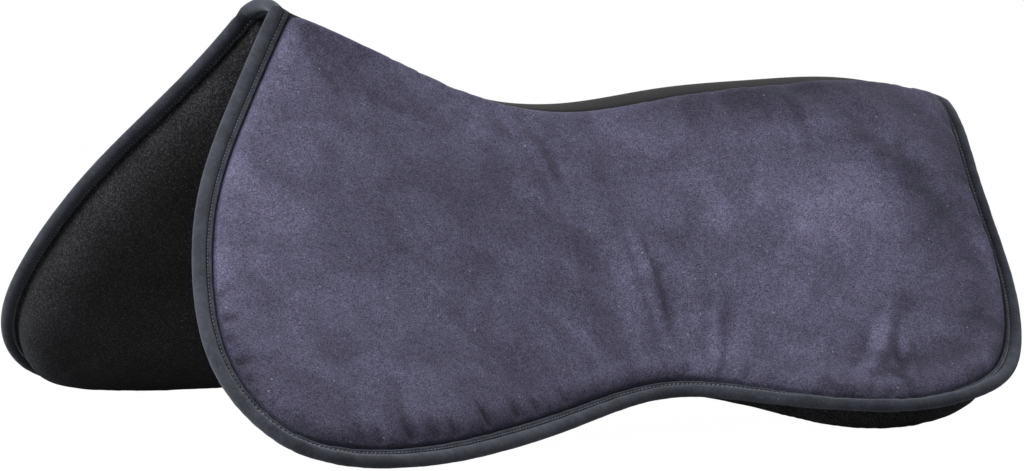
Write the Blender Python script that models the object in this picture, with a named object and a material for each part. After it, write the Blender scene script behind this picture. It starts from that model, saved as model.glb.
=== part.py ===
"""Memory foam half pad, standing open on its four lobes.

Two mirrored foam panels are sewn to a narrow fabric strip that runs over the spine. Each
panel is a foam core between a suede top cover and a jersey lining, and its edges are sewn
together inside a rolled binding tape.

Metres, +Z up. -X is the pommel end, -Y is the left (near) side. The origin is on the ground
under the middle of the pad.
"""

import bmesh
import bpy
import numpy as np
from mathutils import Vector
from mathutils.geometry import delaunay_2d_cdt

# Spine seam: stations along the pad and the height of the seam there. The first and the
# last point carry the line on past the pommel and the cantle, for the lobes.
SEAM_X = (-0.330, -0.221, -0.141, -0.061, 0.019, 0.099, 0.179, 0.259, 0.319, 0.345)
SEAM_Z = (0.317, 0.290, 0.259, 0.226, 0.216, 0.226, 0.232, 0.233, 0.222, 0.216)

# Drape: how steeply a panel falls from the seam, in degrees below level. One row for each
# station along the pad, one column for each share of the depth between seam and lower edge.
SLOPE_X = (-0.281, -0.081, 0.119, 0.319)
SLOPE_SHARE = (0.0, 0.25, 0.55, 0.80, 1.0)
SLOPE_DEG = (
    (72, 53, 49, 45, 38),
    (64, 49, 58, 46, 38),
    (44, 53, 58, 47, 16),
    (25, 52, 53, 42, 20),
)
DEPTH_X = (-0.311, -0.161, 0.019, 0.169, 0.299)
DEPTH_T = (0.375, 0.350, 0.260, 0.285, 0.275)

# Panel outline, flat, from the pommel down round the front lobe, along the waist and the
# rear lobe, and up to the cantle. Each point is a station and a depth below the seam.
OUTLINE = (
    (-0.217, 0.000), (-0.260, 0.082), (-0.301, 0.166), (-0.327, 0.254),
    (-0.329, 0.334), (-0.297, 0.379), (-0.199, 0.360), (-0.083, 0.282),
    (0.021, 0.2385), (0.107, 0.282), (0.184, 0.304), (0.245, 0.288),
    (0.290, 0.238), (0.313, 0.167), (0.318, 0.085), (0.333, 0.000),
)

# Spine strip between the two panels
STRIP_HALF = 0.028    # from the middle of the strip to a seam
STRIP_LAP = 0.008     # overlap of the strip on a panel's sewn edge
STRIP_THICK = 0.0015
RISE_X = (-0.22, -0.16, -0.10, -0.04, 0.05, 0.33)
RISE_Z = (0.0070, 0.0032, 0.0028, 0.0048, 0.0050, 0.0045)   # height of the middle of the strip above its seams
END_HOLLOW = 0.0020                # how far the strip's ends are hollowed in the middle

# Panel layers
COVER_THICK = 0.0016
LINING_THICK = 0.0018
COVER_CROWN = 0.0085   # rise of the suede above the sewn edge
COVER_ROLL = 0.020     # width over which it rises
CROWN_X = (-0.20, 0.05)
LINING_CROWN = (0.0300, 0.0260)   # drop of the lining under the front and the rear lobe
LINING_ROLL = 0.019
CHANNEL_T = (0.01, 0.13)
CHANNEL_SHARE = (0.50, 1.0)       # the lining is thinner along the spine channel
GAP = 0.0004           # between pieces that touch
FOOT_CUT = 0.0005      # depth of the flat that each lobe stands on

# Binding tape
TAPE_THICK = 0.0012
TAPE_WIDTH = 0.0118    # from the rolled edge to the edge of the tape
TAPE_ROLL = 0.0046     # radius of the rolled edge
BEAD_RADIUS = 0.0026   # half the thickness of the sewn edge inside the roll
FLANGE = TAPE_WIDTH + 0.001   # width of the sewn edge inside the tape
CLOSE = max(COVER_ROLL, LINING_ROLL)

# Line that each panel folds about, close to its seam
FOLD_X = (-0.217, 0.333)
FOLD_Z = (0.258, 0.214)

# Mesh
OUTLINE_STEPS = 40     # along the outline, from the pommel to the cantle
CORNER_STEP = 0.018    # first and last step along the outline
SEAM_STEPS = 14        # along the seam
SEAM_STEP = 0.023      # first and last step along the seam
FLANGE_STEPS = (0.0026, 0.0046, 0.0070, FLANGE)   # loops across the sewn edge
OUTER_SHARES = (0.12, 0.38, 0.72)                 # loops over the roll of an outer face
INNER_SHARES = (0.22, 0.60)                       # and of an inner face
CORNER_REACH = 0.10    # loops are drawn round a corner over this length
FIELD_STEP = 0.036     # between points in the middle of a panel
STRIP_SHARES = (-1.0, -0.70, -0.36, 0.0, 0.36, 0.70, 1.0)

SUEDE = ("suede", (0.089, 0.080, 0.122), 0.92)
JERSEY = ("jersey", (0.010, 0.010, 0.012), 0.95)
TAPE = ("binding_tape", (0.032, 0.039, 0.052), 0.80)
MESH_FABRIC = ("spine_fabric", (0.028, 0.030, 0.035), 0.88)
FOAM = ("memory_foam", (0.78, 0.72, 0.55), 0.90)


def smooth_curve(knots, values, at):
    """Natural cubic spline through values at the knots, straight beyond both ends."""
    knots = np.asarray(knots, float)
    values = np.asarray(values, float)
    if values.ndim == 1:
        return smooth_curve(knots, values[:, None], at)[..., 0]
    at = np.asarray(at, float)
    gap = np.diff(knots)
    rise = np.diff(values, axis=0) / gap[:, None]
    system = np.eye(len(knots))
    right = np.zeros_like(values)
    for k in range(1, len(knots) - 1):
        system[k, k - 1:k + 2] = gap[k - 1], 2 * (gap[k - 1] + gap[k]), gap[k]
        right[k] = 6 * (rise[k] - rise[k - 1])
    bend = np.linalg.solve(system, right)
    inside = np.clip(at, knots[0], knots[-1])
    k = np.clip(np.searchsorted(knots, inside) - 1, 0, len(knots) - 2)
    h = gap[k][..., None]
    a = (knots[k + 1] - inside)[..., None] / h
    b = 1 - a
    curve = a * values[k] + b * values[k + 1]
    curve = curve + ((a**3 - a) * bend[k] + (b**3 - b) * bend[k + 1]) * h**2 / 6
    tilt = rise[k] + ((3 * b**2 - 1) * bend[k + 1] - (3 * a**2 - 1) * bend[k]) * h / 6
    return curve + tilt * (at - inside)[..., None]


def drape(station, depth, ground=(0.0, 0.0)):
    """Point of the right panel's seam surface: the slope added up from the seam outwards."""
    station = np.asarray(station, float)
    depth = np.asarray(depth, float)
    part = (np.arange(32) + 0.5) / 32
    below = depth[..., None] * part
    share = below / smooth_curve(DEPTH_X, DEPTH_T, station)[..., None]
    weight = smooth_curve(SLOPE_SHARE, np.eye(len(SLOPE_SHARE)), share)
    row = smooth_curve(SLOPE_X, np.radians(SLOPE_DEG), station)
    angle = np.sum(weight * row[..., None, :], axis=-1)
    out = STRIP_HALF + depth * np.mean(np.cos(angle), axis=-1)
    down = depth * np.mean(np.sin(angle), axis=-1)
    height = smooth_curve(SEAM_X, SEAM_Z, station) - down + ground[0] + ground[1] * station
    return np.stack([station, out, height], axis=-1)


def drape_normal(station, depth, ground=(0.0, 0.0)):
    """Unit normal of the seam surface, pointing out of the pad's top side."""
    step = 1e-4
    along = drape(station + step, depth, ground) - drape(station - step, depth, ground)
    down = drape(station, depth + step, ground) - drape(station, depth - step, ground)
    normal = np.cross(along, down)
    return normal / np.linalg.norm(normal, axis=-1, keepdims=True)


def arch(station, share, ground=(0.0, 0.0)):
    """Middle surface of the strip: a circular arc from seam to seam, share -1 to 1.

    Returns the points and the arc's unit normals.
    """
    rise = smooth_curve(RISE_X, RISE_Z, station)
    half_angle = 2 * np.arctan(rise / STRIP_HALF)
    radius = STRIP_HALF / np.sin(half_angle)
    turn = share * half_angle
    seam = smooth_curve(SEAM_X, SEAM_Z, station) + ground[0] + ground[1] * station
    height = seam + radius * (np.cos(turn) - np.cos(half_angle))
    points = np.stack([station, radius * np.sin(turn), height], axis=-1)
    step = 1e-4
    ahead = smooth_curve(SEAM_X, SEAM_Z, station + step)
    behind = smooth_curve(SEAM_X, SEAM_Z, station - step)
    tilt = (ahead - behind) / (2 * step) + ground[1]
    normals = np.stack([-tilt * np.cos(turn), np.sin(turn), np.cos(turn)], axis=-1)
    return points, normals / np.linalg.norm(normals, axis=-1, keepdims=True)


def seam_mitre(station, ground):
    """Offset direction at a seam, half way between the strip's and the panel's normals."""
    strip = arch(station, np.ones_like(station), ground)[1]
    panel = drape_normal(station, np.zeros_like(station), ground)
    return (strip + panel) / (1 + np.sum(strip * panel, axis=-1, keepdims=True))


def outline_curve():
    """The outline as 2000 points from the pommel to the cantle."""
    points = np.array(OUTLINE)
    chord = np.hypot(*np.diff(points, axis=0).T) ** 0.7
    knots = np.concatenate([[0.0], np.cumsum(chord)])
    return smooth_curve(knots, points, np.linspace(0, knots[-1], 2000))


def spread(curve, steps, corner):
    """Indices of samples along a curve: even in length plus bend, with set end steps."""
    length = np.concatenate([[0.0], np.cumsum(np.hypot(*np.diff(curve, axis=0).T))])
    heading = np.unwrap(np.arctan2(*np.gradient(curve, axis=0).T))
    measure = length + 0.08 * np.concatenate([[0.0], np.cumsum(np.abs(np.diff(heading)))])
    low, high = np.interp([corner, length[-1] - corner], length, measure)
    places = [0.0, *np.linspace(low, high, steps - 1), measure[-1]]
    return np.rint(np.interp(places, measure, np.arange(len(curve)))).astype(int)


class PanelPlan:
    """Flat plan of a panel: its edge loop, loops inside that, and a field of inner points.

    The loop runs along the seam from the pommel to the cantle and back along the outline.
    """

    def __init__(self):
        curve = outline_curve()
        taken = spread(curve, OUTLINE_STEPS, CORNER_STEP)
        slope = np.gradient(curve, axis=0)
        slope = slope / np.hypot(*slope.T)[:, None]
        inward = np.stack([slope[:, 1], -slope[:, 0]], axis=-1)[taken]
        bound = curve[taken]
        x = np.linspace(bound[0, 0] + SEAM_STEP, bound[-1, 0] - SEAM_STEP, SEAM_STEPS - 1)
        seam = np.stack([x, np.zeros_like(x)], axis=-1)
        self.seam_stations = x

        # Across the sewn edge, and on inwards, both per metre of distance. At the two
        # corners the steps from the tape's side and from the seam's side meet.
        lap = (STRIP_LAP + 0.001) / FLANGE
        across = inward.copy()
        onward = inward.copy()
        for end in (0, -1):
            side = inward[end]
            across[end] = (1 - side[1] * lap) / side[0], lap
            onward[end] = (1 - side[1]) / side[0], 1.0
        down = np.tile([0.0, 1.0], (len(x), 1))
        self.edge = np.concatenate([seam, bound[::-1]])
        self.across = np.concatenate([down * lap, across[::-1]])
        self.onward = np.concatenate([down, onward[::-1]])
        self.count = len(self.edge)
        self.on_seam = self.edge[:, 1] < 1e-9
        sewn = self.edge + FLANGE * self.across
        for corner in (len(x), self.count - 1):
            away = sewn - sewn[corner]
            reach = np.hypot(*away.T)
            near = (reach > 0) & (reach < CORNER_REACH)
            away = away[near] / reach[near, None]
            pull = away @ self.onward[corner] * (1 - reach[near] / CORNER_REACH)
            self.onward[near] += pull[:, None] * away

        # The tape's end sections lie along the strip, the next ones are square to the edge
        self.mitre = 1 / inward[0, 0], -1 / inward[-1, 0]
        near = [bound[a] + 0.3 * (bound[b] - bound[a]) for a, b in ((0, 1), (-1, -2))]
        self.tape_edge = np.array([bound[0], near[0], *bound[1:-1], near[1], bound[-1]])
        self.tape_in = np.array([(self.mitre[0], 0.0), inward[1], *inward[1:-1], inward[-2],
                                 (-self.mitre[1], 0.0)])
        self.field, self.field_faces = self.fill(self.loop(FLANGE + CLOSE))

    def loop(self, distance):
        """Flat loop at a distance inside the outer edge."""
        if distance <= FLANGE:
            return self.edge + distance * self.across
        return self.edge + FLANGE * self.across + (distance - FLANGE) * self.onward

    def fill(self, loop):
        """Inner points in staggered rows, and the triangles that join them to a loop."""
        low, high = loop.min(axis=0), loop.max(axis=0)
        across = np.arange(low[0], high[0], FIELD_STEP)
        rows = np.arange(low[1] + 0.8 * FIELD_STEP, high[1], 0.87 * FIELD_STEP)
        grid = np.array([(x + FIELD_STEP / 2 * (k % 2), t)
                         for k, t in enumerate(rows) for x in across])
        ahead = np.roll(loop, -1, axis=0)
        run = ahead - loop
        offset = grid[:, None] - loop[None]
        along = np.clip(np.sum(offset * run, axis=-1) / np.sum(run**2, axis=-1), 0, 1)
        gap = offset - along[..., None] * run
        near = np.min(np.hypot(gap[..., 0], gap[..., 1]), axis=1)
        spans = (loop[:, 1] > grid[:, None, 1]) != (ahead[:, 1] > grid[:, None, 1])
        drop = np.where(run[:, 1] == 0, 1.0, run[:, 1])
        left = grid[:, None, 0] < loop[:, 0] + offset[..., 1] * run[:, 0] / drop
        inside = np.sum(spans & left, axis=1) % 2 == 1
        field = grid[inside & (near > 0.6 * FIELD_STEP)]
        count = len(loop)
        verts = [Vector(spot) for spot in np.concatenate([loop, field]).tolist()]
        edges = [(k, (k + 1) % count) for k in range(count)]
        result = delaunay_2d_cdt(verts, edges, [], 1, 1e-6)
        place = [source[0] for source in result[3]]
        return field, [[place[v] for v in face] for face in result[2]]


def crown(distance, height, roll):
    """Rounded rise from a sewn edge: a quarter of an ellipse, then level."""
    share = np.clip(distance / roll, 0, 1)
    return height * np.sqrt(1 - (1 - share) ** 2)


def bead(distance, thick):
    """Layer thickness across the sewn edge: it swells into the tape's roll."""
    offset = np.clip(np.abs(distance - TAPE_ROLL) / BEAD_RADIUS, 0, 1)
    return np.maximum(BEAD_RADIUS * np.sqrt(1 - offset**2), thick * (0.4 + 0.6 * (distance > TAPE_ROLL)))


def mirrored(points, side):
    """Right panel as it is, left panel mirrored across the spine."""
    return points * np.array([1.0, side, 1.0])


def face_out(build):
    """Turn all faces of a closed mesh outwards."""
    bmesh.ops.recalc_face_normals(build, faces=build.faces[:])
    if build.calc_volume(signed=True) < 0:
        bmesh.ops.reverse_faces(build, faces=build.faces[:])


def closed_mesh(name, points, faces, side, finish):
    """Named object with a material, its faces turned to point out."""
    mesh = bpy.data.meshes.new(name)
    mesh.from_pydata(points.tolist(), [], faces if side > 0 else turned(faces))
    build = bmesh.new()
    build.from_mesh(mesh)
    bmesh.ops.triangulate(build, faces=build.faces[:], quad_method="FIXED")
    face_out(build)
    build.to_mesh(mesh)
    build.free()
    mesh.shade_smooth()
    mesh.set_sharp_from_angle(angle=np.radians(50))
    slot, color, roughness = finish
    material = bpy.data.materials.get(slot) or bpy.data.materials.new(slot)
    material.use_nodes = True
    shader = material.node_tree.nodes["Principled BSDF"]
    shader.inputs["Base Color"].default_value = (*color, 1.0)
    shader.inputs["Roughness"].default_value = roughness
    shader.inputs["Metallic"].default_value = 0.0
    mesh.materials.append(material)
    piece = bpy.data.objects.new(name, mesh)
    bpy.context.scene.collection.objects.link(piece)
    return piece


def turned(faces):
    """Faces turned over, each still split from its first corner."""
    return [face[:1] + face[:0:-1] for face in faces]


def strip_faces(first, second, count):
    """Quads between two closed loops of vertices, given by their first indices."""
    k = np.arange(count)
    n = (k + 1) % count
    return np.stack([first + k, first + n, second + n, second + k], axis=-1).tolist()


def layer(plan, name, top, bottom, ground, side, finish):
    """Closed shell of a panel between two lists of (flat loop, offset) from edge to field."""
    spots = raised(top + bottom, ground)
    starts = np.concatenate([[0], np.cumsum([len(spot) for spot in spots])]).tolist()
    faces = []
    for begin, turn in ((starts[:len(top)], list), (starts[len(top):-1], turned)):
        for first, second in zip(begin[:-2], begin[1:-1]):
            faces += turn(strip_faces(first, second, plan.count))
        faces += turn([[v + begin[-2] for v in face] for face in plan.field_faces])
    faces += strip_faces(starts[len(top)], 0, plan.count)
    return closed_mesh(name, mirrored(np.concatenate(spots), side), faces, side, finish)


def outer_rings(plan, thick, height, roll):
    """Loops of a layer's outer face: the sewn edge with its bead, then the crown."""
    rings = []
    for distance in FLANGE_STEPS:
        swell = np.where(plan.on_seam, thick, bead(distance, thick))
        rings.append((plan.loop(distance), GAP / 2 + swell))
    for distance in [share * roll for share in OUTER_SHARES] + [CLOSE]:
        flat = plan.loop(FLANGE + distance)
        rings.append((flat, GAP / 2 + thick + crown(distance, height(flat), roll)))
    return rings + [(plan.field, GAP / 2 + thick + height(plan.field))]


def inner_rings(plan, thick, height, roll, gap=0.0):
    """Loops of a layer's inner face, or of the foam's face with a gap inside that."""
    rings = [(plan.loop(d), np.full(plan.count, GAP / 2)) for d in (FLANGE_STEPS[0], FLANGE)]
    for distance in [share * roll for share in INNER_SHARES] + [CLOSE]:
        flat = plan.loop(FLANGE + distance)
        rise = crown(max(distance - thick - gap, 0), height(flat), roll)
        rings.append((flat, GAP / 2 + rise - gap))
    return rings + [(plan.field, GAP / 2 + height(plan.field) - gap)]


def cover_height(flat):
    """Crown of the suede, the same all over."""
    return np.full(len(flat), COVER_CROWN)


def lining_height(flat):
    """Crown of the lining, a little deeper in front and half as deep along the channel."""
    station = np.interp(flat[:, 0], CROWN_X, LINING_CROWN)
    return station * np.interp(flat[:, 1], CHANNEL_T, CHANNEL_SHARE)


def facing(rings, sign):
    """The same loops with their offsets on one side of the seam surface."""
    return [(flat, sign * offset) for flat, offset in rings]


def tape_profile():
    """Section of the tape, round from its upper edge over the roll to its lower edge.

    Each point is a distance from the rolled edge and a height over the seam surface.
    """
    inner_leg = GAP / 2 + COVER_THICK + GAP
    outer_leg = inner_leg + TAPE_THICK
    neck = np.arcsin(outer_leg / TAPE_ROLL)
    turns = np.linspace(neck, 2 * np.pi - neck, 9)
    roll = [(TAPE_ROLL * (1 + np.cos(a)), TAPE_ROLL * np.sin(a)) for a in turns]
    bore = TAPE_ROLL - TAPE_THICK
    throat = np.arcsin(inner_leg / bore)
    back = np.linspace(2 * np.pi - throat, throat, 7)
    hollow = [(TAPE_ROLL + bore * np.cos(a), bore * np.sin(a)) for a in back]
    lower_in = GAP / 2 + LINING_THICK + GAP
    return np.array([(TAPE_WIDTH, outer_leg), *roll, (TAPE_WIDTH, -lower_in - TAPE_THICK),
                     (TAPE_WIDTH, -lower_in), *hollow, (TAPE_WIDTH, inner_leg)])


def swept(sections, profile):
    """Vertices and faces of a closed section carried along a path, with flat ends.

    Faces are split the same way as those of the layers inside the tape.
    """
    count, size = sections.shape[:2]
    outward = np.roll(profile[:, 0], -1) > profile[:, 0]
    faces = []
    for k in range(count - 1):
        quads = strip_faces(k * size, (k + 1) * size, size)
        faces += [q[1:] + q[:1] if swap else q for q, swap in zip(quads, outward)]
    faces.append(list(range(size))[::-1])
    faces.append(list(range((count - 1) * size, count * size)))
    return sections.reshape(-1, 3), faces


def tape_points(plan, ground):
    """Sections of the tape round one panel, from the pommel's seam to the cantle's."""
    profile = tape_profile()
    flat = plan.tape_edge[:, None] + profile[None, :, :1] * plan.tape_in[:, None]
    flat[[0, -1], :, 1] = GAP / 2
    spots = drape(flat[..., 0], flat[..., 1], ground)
    normals = drape_normal(flat[..., 0], flat[..., 1], ground)
    for end in (0, -1):
        normals[end] = seam_mitre(flat[end, :, 0], ground)
    return spots + profile[None, :, 1:] * normals


def edge_binding(plan, name, ground, side):
    """Tape round one panel, flat where the front lobe stands on it."""
    points, faces = swept(tape_points(plan, ground), tape_profile())
    piece = closed_mesh(name, mirrored(points, side), faces, side, TAPE)
    cut_feet(piece)
    return piece


def end_binding(plan, name, ground, end):
    """Tape over one end of the strip, from seam to seam. End is -1 or 1."""
    profile = tape_profile()
    across = np.array(STRIP_SHARES)
    inset = GAP / 2 / STRIP_HALF
    share = across * (1 - inset)
    flat_x = end_edge(plan, end, across, profile[:, 0])
    spots, normals = arch(flat_x, np.broadcast_to(share[:, None], flat_x.shape), ground)
    for k, mirror in ((0, -1.0), (-1, 1.0)):
        mitre = seam_mitre(flat_x[k], ground)
        normals[k] = mitre * np.array([1.0, mirror, 1.0])
    points, faces = swept(spots + profile[None, :, 1:] * normals, profile)
    return closed_mesh(name, points, faces, 1, TAPE)


def end_edge(plan, end, across, distance):
    """Stations at distances inside the strip's bound edge, which is a little hollow.

    They widen towards the seams, where the tape comes in on a slant.
    """
    corner = OUTLINE[0][0] if end < 0 else OUTLINE[-1][0]
    widen = 1 + (plan.mitre[0 if end < 0 else 1] - 1) * across**2
    hollow = END_HOLLOW * (1 - across**2)
    return corner - end * (hollow[:, None] + widen[:, None] * np.asarray(distance))


def strip_layer(plan, name, ground, sign, finish):
    """Fabric over or under the spine: a grid of cells with a lap along each seam.

    Under the end tapes the layer stops at the seams. Between them it laps the panels.
    """
    thick = STRIP_THICK
    shares = np.array(STRIP_SHARES)
    inset = GAP / 2 / STRIP_HALF
    end_rows = len(FLANGE_STEPS)
    stations = plan.seam_stations
    rows = 2 * end_rows + len(stations)
    columns = len(shares) + 4
    low = np.zeros((rows, columns, 3))
    high = np.zeros((rows, columns, 3))
    over_panel = GAP / 2 + COVER_THICK + GAP if sign > 0 else GAP / 2 + LINING_THICK + GAP
    for row in range(rows):
        in_end = row < end_rows or row >= rows - end_rows
        if row < end_rows:
            distance = FLANGE_STEPS[row]
            x = end_edge(plan, -1, shares, [distance])[:, 0]
        elif in_end:
            distance = FLANGE_STEPS[rows - 1 - row]
            x = end_edge(plan, 1, shares, [distance])[:, 0]
        else:
            x = np.full(len(shares), stations[row - end_rows])
        limit = 1 - inset if in_end else 1.0
        spots, normals = arch(x, shares * limit, ground)
        rim = np.clip((np.abs(shares) - 0.70) / 0.30, 0, 1)
        if in_end:
            base = np.full(len(shares), GAP / 2)
            body = np.full(len(shares), bead(distance, thick))
        else:
            base = GAP / 2 + (over_panel - GAP / 2) * rim
            body = np.full(len(shares), thick)
        for k, mirror in ((0, -1.0), (-1, 1.0)):
            normals[k] = seam_mitre(x[k], ground) * np.array([1.0, mirror, 1.0])
        low[row, 2:-2] = spots + sign * base[:, None] * normals
        high[row, 2:-2] = spots + sign * (base + body)[:, None] * normals
        for k, t in ((1, STRIP_LAP / 2), (0, STRIP_LAP)):
            spot = drape(x[-1], t, ground)
            normal = drape_normal(x[-1], t, ground)
            for column, mirror in ((k, -1.0), (columns - 1 - k, 1.0)):
                flip = np.array([1.0, mirror, 1.0])
                low[row, column] = (spot + sign * over_panel * normal) * flip
                high[row, column] = (spot + sign * (over_panel + thick) * normal) * flip
    keep = np.ones((rows - 1, columns - 1), bool)
    keep[:end_rows, :2] = keep[:end_rows, -2:] = False
    keep[-end_rows:, :2] = keep[-end_rows:, -2:] = False
    points, faces = cell_plate(low, high, keep)
    return closed_mesh(name, points, faces, 1, finish)


def cell_plate(low, high, keep):
    """Closed plate made of the kept cells of a grid, with walls round their border."""
    rows, columns = low.shape[:2]
    index = np.arange(rows * columns).reshape(rows, columns)
    lift = rows * columns
    faces = []
    border = {}
    for i, j in zip(*np.nonzero(keep)):
        cell = [index[i, j], index[i + 1, j], index[i + 1, j + 1], index[i, j + 1]]
        faces.append([int(v) + lift for v in cell])
        faces.append([int(v) for v in cell[::-1]])
        for a, b in zip(cell, cell[1:] + cell[:1]):
            if (b, a) in border:
                del border[b, a]
            else:
                border[a, b] = True
    faces += [[int(a), int(b), int(b) + lift, int(a) + lift] for a, b in border]
    used = sorted({v for face in faces for v in face})
    place = {v: k for k, v in enumerate(used)}
    points = np.concatenate([low.reshape(-1, 3), high.reshape(-1, 3)])[used]
    return points, [[place[v] for v in face] for face in faces]


def raised(rings, ground=(0.0, 0.0)):
    """Points of (flat loop, offset) pairs on the seam surface."""
    spots = []
    for flat, offset in rings:
        normal = drape_normal(flat[:, 0], flat[:, 1], ground)
        spots.append(drape(flat[:, 0], flat[:, 1], ground) + np.asarray(offset)[:, None] * normal)
    return spots


def level_ground(plan):
    """Shift and tilt that stand both lobes on the ground, sunk by the foot's cut."""
    rings = facing(outer_rings(plan, LINING_THICK, lining_height, LINING_ROLL), -1)
    spots = np.concatenate(raised(rings) + list(tape_points(plan, (0.0, 0.0))))
    front_x, _, front_z = min(spots[spots[:, 0] < 0], key=lambda spot: spot[2])
    rear_x, _, rear_z = min(spots[spots[:, 0] > 0], key=lambda spot: spot[2])
    tilt = (front_z - rear_z) / (rear_x - front_x)
    return -FOOT_CUT - front_z - tilt * front_x, tilt


def cut_feet(piece):
    """Cut a piece flat where it stands on the ground."""
    build = bmesh.new()
    build.from_mesh(piece.data)
    cut = bmesh.ops.bisect_plane(build, geom=build.verts[:] + build.edges[:] + build.faces[:],
                                 dist=1e-7, plane_co=Vector((0, 0, 0)),
                                 plane_no=Vector((0, 0, -1)), clear_outer=True)
    rim = [e for e in cut["geom_cut"] if isinstance(e, bmesh.types.BMEdge)]
    sole = bmesh.ops.edgenet_fill(build, edges=rim)
    bmesh.ops.triangulate(build, faces=sole["faces"])
    face_out(build)
    build.to_mesh(piece.data)
    build.free()


def panel(plan, name, ground, side):
    """All pieces of one panel."""
    top_out = outer_rings(plan, COVER_THICK, cover_height, COVER_ROLL)
    top_in = inner_rings(plan, COVER_THICK, cover_height, COVER_ROLL)
    low_out = outer_rings(plan, LINING_THICK, lining_height, LINING_ROLL)
    low_in = inner_rings(plan, LINING_THICK, lining_height, LINING_ROLL)
    cover = layer(plan, name + "_top_cover", facing(top_out, 1), facing(top_in, 1),
                  ground, side, SUEDE)
    lining = layer(plan, name + "_lining", facing(low_in, -1), facing(low_out, -1),
                   ground, side, JERSEY)
    cut_feet(lining)
    top_foam = inner_rings(plan, COVER_THICK, cover_height, COVER_ROLL, GAP)[2:]
    low_foam = inner_rings(plan, LINING_THICK, lining_height, LINING_ROLL, GAP)[2:]
    core = layer(plan, name + "_foam_core", facing(top_foam, 1), facing(low_foam, -1),
                 ground, side, FOAM)
    binding = edge_binding(plan, name + "_edge_binding", ground, side)
    return [cover, core, lining, binding]


def fold_axis(name, side):
    """Empty on the line that a panel folds about."""
    axis = bpy.data.objects.new(name, None)
    axis.location = (0.0, side * STRIP_HALF, float(np.interp(0.0, FOLD_X, FOLD_Z)))
    bpy.context.scene.collection.objects.link(axis)
    return axis


def build():
    """Make every piece and hang the panels on their fold lines."""
    plan = PanelPlan()
    ground = level_ground(plan)
    strip_layer(plan, "spine_strip", ground, 1, MESH_FABRIC)
    strip_layer(plan, "spine_lining", ground, -1, JERSEY)
    end_binding(plan, "pommel_binding", ground, -1)
    end_binding(plan, "cantle_binding", ground, 1)
    for name, side in (("left", -1), ("right", 1)):
        axis = fold_axis(name + "_fold_line", side)
        for piece in panel(plan, name, ground, side):
            piece.data.transform(axis.matrix_basis.inverted())
            piece.parent = axis


for old in list(bpy.data.objects):
    bpy.data.objects.remove(old)
build()
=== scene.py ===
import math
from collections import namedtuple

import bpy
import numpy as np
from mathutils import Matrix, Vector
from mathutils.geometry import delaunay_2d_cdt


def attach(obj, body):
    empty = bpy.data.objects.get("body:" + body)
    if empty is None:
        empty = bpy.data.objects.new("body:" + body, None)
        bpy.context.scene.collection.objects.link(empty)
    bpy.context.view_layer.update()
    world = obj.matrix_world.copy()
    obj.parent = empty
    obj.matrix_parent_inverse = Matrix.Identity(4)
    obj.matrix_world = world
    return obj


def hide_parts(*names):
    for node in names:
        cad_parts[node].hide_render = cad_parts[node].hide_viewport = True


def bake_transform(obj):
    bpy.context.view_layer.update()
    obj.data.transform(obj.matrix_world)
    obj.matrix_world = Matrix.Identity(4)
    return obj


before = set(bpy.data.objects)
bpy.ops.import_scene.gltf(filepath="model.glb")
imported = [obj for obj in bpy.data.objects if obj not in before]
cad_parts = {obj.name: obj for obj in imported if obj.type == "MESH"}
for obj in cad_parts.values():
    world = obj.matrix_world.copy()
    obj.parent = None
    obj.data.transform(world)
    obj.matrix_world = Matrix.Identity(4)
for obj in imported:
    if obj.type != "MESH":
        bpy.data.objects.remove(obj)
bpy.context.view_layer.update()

# Memory foam half pad, dressed. Two mirrored panels of foam between a suede cover and a
# jersey lining hang from a narrow strip over the spine, and one rolled tape binds the whole
# edge. Metres, +Z up, -X is the pommel end and -Y the left, near side. A panel is described
# flat, by station (x) and depth below its seam. The sections follow the pad as it is sewn
# together: foam, lining, suede, spine strip, binding, stitching.


# Foam cores. Each panel is filled with one piece of memory foam, cut to the panel's shape
# with its edges rounded off. It lies loose between the two fabrics and is held in place by
# the seam round it. Its surface has fine open pores.

SIDES = (("left", -1), ("right", 1))
SEAM_X = (-0.330, -0.221, -0.141, -0.061, 0.019, 0.099, 0.179, 0.259, 0.319, 0.345)
SEAM_Z = (0.317, 0.290, 0.259, 0.226, 0.216, 0.226, 0.232, 0.233, 0.222, 0.216)
LEVEL = (-0.0001, 0.0026)     # shift and tilt that stand the lobes on the ground
SLOPE_X = (-0.281, -0.081, 0.119, 0.319)
SLOPE_SHARE = (0.0, 0.25, 0.55, 0.80, 1.0)
SLOPE_DEG = ((72, 53, 49, 45, 38), (64, 49, 58, 46, 38),   # by station and share of the depth
             (44, 53, 58, 47, 16), (25, 52, 53, 42, 20))
DEPTH_X = (-0.311, -0.161, 0.019, 0.169, 0.299)
DEPTH_T = (0.375, 0.350, 0.260, 0.285, 0.275)
OUTLINE = (
    (-0.217, 0.000), (-0.260, 0.082), (-0.301, 0.166), (-0.327, 0.254),
    (-0.329, 0.334), (-0.297, 0.379), (-0.199, 0.360), (-0.083, 0.282),
    (0.021, 0.2385), (0.107, 0.282), (0.184, 0.304), (0.245, 0.288),
    (0.290, 0.238), (0.313, 0.167), (0.318, 0.085), (0.333, 0.000),
)
STRIP_HALF = 0.028            # from the middle of the spine strip to a seam
SEAM_START = 0.0015           # depth below the spine seam at which the stuffing starts
SEWN = 0.0129                 # width of the sewn edge that the tape hides
TUCK = 0.0045                 # how far a fabric goes on under the tape
SEAM_TUCK = 0.0012            # and into the spine seam
COVER_RISE = 0.0086           # height of the foam's suede side over the seam surface
COVER_ROLL_X = (-0.16, -0.04, 0.10, 0.20)
COVER_ROLL = (0.018, 0.011, 0.011, 0.014)   # width of its rounding at the tape, by station
COVER_SEAM_X = (-0.05, 0.00)
COVER_SEAM_ROLL = (0.0080, 0.011)   # and at the spine seam
LINING_RISE = (0.0290, 0.0250)   # thickness under the front and the rear lobe
LINING_ROLL = {"left": (0.058, 0.019), "right": (0.034, 0.019)}   # width of its rounding there
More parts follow.
